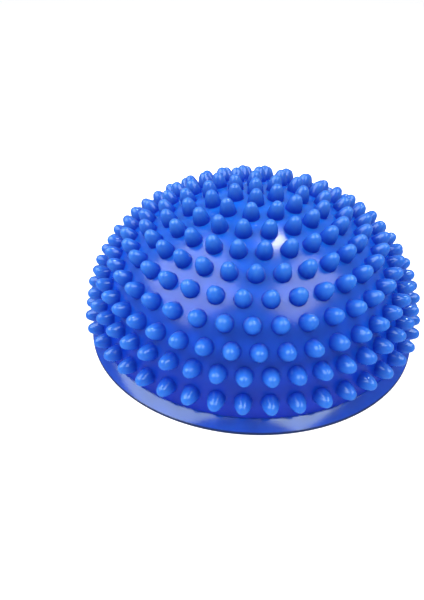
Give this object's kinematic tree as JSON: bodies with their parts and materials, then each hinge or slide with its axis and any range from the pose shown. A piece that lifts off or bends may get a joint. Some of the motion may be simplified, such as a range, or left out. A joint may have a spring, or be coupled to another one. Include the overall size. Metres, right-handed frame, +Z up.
{
  "type": "balance dome trainer",
  "caption": "Half-round air-filled balance dome with a flat flanged foot, rows of rounded massage studs over the whole dome and a stoppered air valve in its underside.",
  "frame": {"origin": "middle of the foot, on the floor", "axes": "+Z up along the dome's axis, out of its crown; -Y towards the front of the view; +X to the right"},
  "size_m": [0.1639, 0.1638, 0.0763],
  "materials": {
    "skin_pvc": "glossy soft blue PVC, slightly see-through, smooth off the mould",
    "stud_pvc": "glossy soft blue PVC, solid through, so brighter than the skin",
    "base_pvc": "soft blue PVC with a duller, finely grained underside",
    "stopper_plastic": "off-white moulded plastic, satin"
  },
  "bodies": {
    "dome": {"dome_skin": "skin_pvc", "rim_flange": "skin_pvc", "base_sheet": "base_pvc", "grip_ribs": "base_pvc", "valve_neck": "base_pvc", "crown_stud": "stud_pvc", "stud_row_01": "stud_pvc", "stud_row_02": "stud_pvc", "stud_row_03": "stud_pvc", "stud_row_04": "stud_pvc", "stud_row_05": "stud_pvc", "stud_row_06": "stud_pvc", "stud_row_07": "stud_pvc", "stud_row_08": "stud_pvc", "stud_row_09": "stud_pvc", "stud_row_10": "stud_pvc"},
    "stopper": {"valve_stopper": "stopper_plastic"}
  },
  "joints": [
    {"name": "stopper_pull", "type": "slide", "parent": "dome", "child": "stopper", "axis": [0, 0, -1], "range_m": [0, 0.02]}
  ]
}
